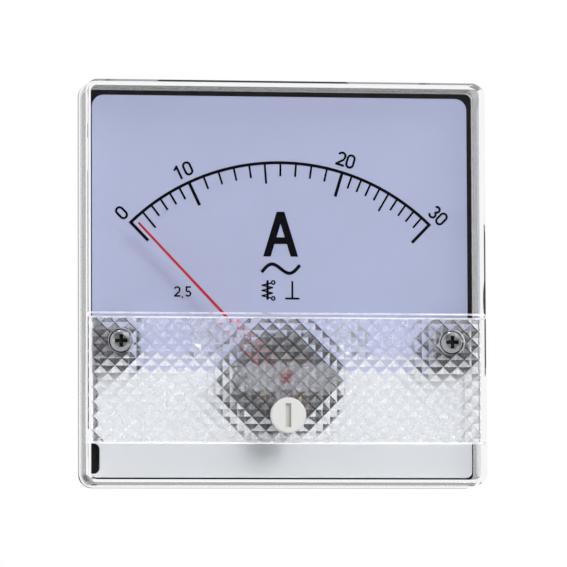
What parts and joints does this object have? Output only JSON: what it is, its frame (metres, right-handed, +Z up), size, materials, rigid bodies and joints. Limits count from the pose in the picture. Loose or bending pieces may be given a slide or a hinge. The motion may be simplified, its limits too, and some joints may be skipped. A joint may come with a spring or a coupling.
{
  "type": "panel meter",
  "caption": "Square panel ammeter with a clear cover, printed scale, red pointer, zero adjuster, and a round barrel with threaded terminals behind the panel.",
  "frame": {"origin": "centre of the square bezel on the panel seat, which is also the barrel's axis where the barrel leaves the flange", "axes": "+X to the viewer's right, +Z up, +Y from the front into the panel, along the barrel and studs"},
  "size_m": [0.08, 0.0676, 0.08],
  "materials": {
    "clear_cover": "clear moulded acrylic, polished",
    "white_plastic": "satin",
    "black_case": "satin",
    "black_frame": "satin",
    "dial_sheet": "matt lacquer on aluminium sheet",
    "dial_ink": "matt ink",
    "screw_steel": "zinc plated",
    "nickel_steel": "nickel plated",
    "movement_brass": "turned",
    "locking_lacquer": "brass under red locking lacquer",
    "jewel_stone": "polished",
    "red_pointer": "red lacquer on aluminium",
    "soft_iron": "annealed",
    "former_plastic": "moulded nylon",
    "coil_copper": "enamelled copper wire",
    "disc_aluminium": "satin",
    "magnet_ferrite": "sintered",
    "tinned_copper": "tinned",
    "terminal_brass": "machined",
    "washer_steel": "zinc plated"
  },
  "bodies": {
    "housing": {"front_cover": "clear_cover", "lower_shield": "white_plastic", "case": "black_case", "movement_frame": "black_frame", "dial_plate": "dial_sheet", "dial_print": "dial_ink", "cover_screws": "screw_steel", "mounting_studs": "screw_steel", "dial_screws": "screw_steel", "frame_screws": "screw_steel", "bridge_screws": "screw_steel", "rear_bridge_screws": "screw_steel", "yoke_rivets": "screw_steel", "stop_pins": "screw_steel", "front_bridge": "nickel_steel", "bridge_pillars": "nickel_steel", "front_lock_nut": "nickel_steel", "lever_washer": "nickel_steel", "rear_bridge": "nickel_steel", "magnet_yoke": "nickel_steel", "rear_jewel_screw": "movement_brass", "rear_lock_nut": "movement_brass", "front_jewel_screw": "locking_lacquer", "front_jewel": "jewel_stone", "rear_jewel": "jewel_stone", "fixed_iron": "soft_iron", "coil_former": "former_plastic", "coil_winding": "coil_copper", "damping_magnets": "magnet_ferrite", "coil_lugs": "tinned_copper", "terminal_studs": "terminal_brass", "terminal_nuts": "terminal_brass", "lug_nuts": "terminal_brass", "terminal_washers": "washer_steel", "lug_washers": "washer_steel", "lug_spring_washers": "washer_steel"},
    "adjuster": {"zero_adjuster": "white_plastic", "adjuster_clip": "screw_steel"},
    "lever": {"zero_lever": "nickel_steel", "hairspring": "movement_brass"},
    "movement": {"pointer": "red_pointer", "balance_weights": "movement_brass", "spindle": "nickel_steel", "spring_collet": "movement_brass", "moving_iron": "soft_iron", "damping_disc": "disc_aluminium"}
  },
  "joints": [
    {"name": "adjuster_turn", "type": "hinge", "parent": "housing", "child": "adjuster", "pos_m": [0, -0.0105, -0.0261], "axis": [0, 1, 0], "range_deg": [-30, 30]},
    {"name": "zero_lever_swing", "type": "hinge", "parent": "housing", "child": "lever", "pos_m": [0, -0.00765, -0.0185], "axis": [0, 1, 0], "range_deg": [-3.6, 3.6]},
    {"name": "pointer_swing", "type": "hinge", "parent": "lever", "child": "movement", "pos_m": [0, -0.006, -0.0185], "axis": [0, 1, 0], "range_deg": [-1.4, 90.4], "stiffness_Nm_per_rad": 0.00005}
  ],
  "couplings": [
    {"joint": "zero_lever_swing", "follows": "adjuster_turn", "ratio": -0.1176}
  ]
}
